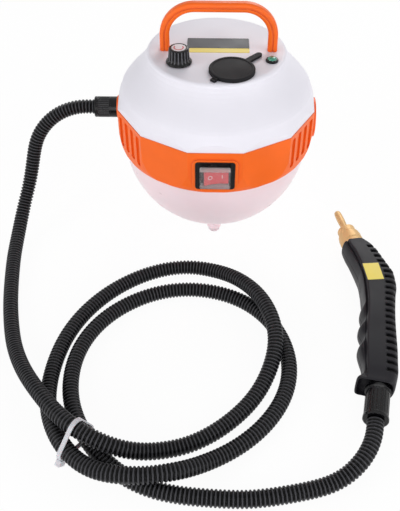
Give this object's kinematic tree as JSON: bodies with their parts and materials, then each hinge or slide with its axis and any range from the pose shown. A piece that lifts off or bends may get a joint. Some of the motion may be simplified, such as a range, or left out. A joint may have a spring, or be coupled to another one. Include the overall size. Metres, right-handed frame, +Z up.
{
  "type": "portable steam cleaner",
  "caption": "Round countertop steam cleaner with a carry handle, filler lid, control knob and rocker switch, and a ribbed hose to a hand gun with a brass nozzle.",
  "frame": {"origin": "centre of the body on the floor: the axis of bowl, band and deck at z = 0, without the hose, its two end fittings and the gun", "axes": "+Z up, -Y towards the rocker switch, -X towards the hose gland"},
  "size_m": [0.4252, 0.5192, 0.262],
  "materials": {
    "white_shell": "smooth moulded white",
    "orange_shell": "smooth moulded orange",
    "bowl_shell": "milky translucent moulding",
    "screw_steel": "zinc plated",
    "foot_rubber": "pale soft rubber",
    "knob_black": "smooth black",
    "cap_white": "smooth white",
    "control_grey": "dark grey moulding",
    "lid_rubber": "matt charcoal rubber",
    "lens_green": "green clear lens",
    "rocker_red": "translucent red",
    "cover_clear": "clear flexible cover",
    "tank_plastic": "natural moulding",
    "chassis_metal": "sheet",
    "heater_aluminium": "cast",
    "cutout_ceramic": "phenolic",
    "pump_blue": "moulded pump",
    "board_green": "circuit board",
    "standoff_brass": "turned",
    "tube_silicone": "silicone tube",
    "hose_black": "ribbed black plastic",
    "gun_charcoal": "satin charcoal",
    "nozzle_brass": "satin brass"
  },
  "bodies": {
    "base": {"upper_shell": "white_shell", "filler_neck": "white_shell", "waist_band": "orange_shell", "carry_handle": "orange_shell", "lower_shell": "bowl_shell", "shell_screws": "screw_steel", "foot_screws": "screw_steel", "handle_screws": "screw_steel", "control_nut": "screw_steel", "lamp_nut": "screw_steel", "switch_terminals": "screw_steel", "heating_element": "screw_steel", "gun_pipe": "screw_steel", "pump_bracket": "screw_steel", "feet": "foot_rubber", "lamp_bezel": "knob_black", "switch_bezel": "knob_black", "gland_body": "knob_black", "gland_nut": "knob_black", "gland_locknut": "knob_black", "gun_connector": "knob_black", "cable_tie": "cap_white", "control_body": "control_grey", "switch_body": "control_grey", "lid_anchor": "lid_rubber", "mains_bush": "lid_rubber", "lamp_lens": "lens_green", "switch_cover": "cover_clear", "water_tank": "tank_plastic", "chassis_plate": "chassis_metal", "heater_block": "heater_aluminium", "thermal_cutout": "cutout_ceramic", "pump": "pump_blue", "control_board": "board_green", "board_standoffs": "standoff_brass", "suction_tube": "tube_silicone", "feed_tube": "tube_silicone", "steam_tube": "tube_silicone", "steam_hose": "hose_black", "grip_left": "gun_charcoal", "grip_right": "gun_charcoal", "nozzle_base": "nozzle_brass", "nozzle_tip": "nozzle_brass"},
    "knob": {"knob": "knob_black", "knob_cap": "cap_white", "control_shaft": "screw_steel"},
    "lid": {"filler_lid": "lid_rubber"},
    "rocker": {"rocker": "rocker_red"}
  },
  "joints": [
    {"name": "knob_turn", "type": "hinge", "parent": "base", "child": "knob", "pos_m": [-0.0383, -0.0294, 0.21], "axis": [0, 0, 1], "range_deg": [-210, 60]},
    {"name": "lid_swing", "type": "hinge", "parent": "base", "child": "lid", "pos_m": [-0.00151, -0.06414, 0.2119], "axis": [0.7314, -0.682, 0], "range_deg": [0, 110]},
    {"name": "rocker_tilt", "type": "hinge", "parent": "base", "child": "rocker", "pos_m": [0, -0.10258, 0.1255], "axis": [0, 0, 1], "range_deg": [-20, 0]}
  ]
}
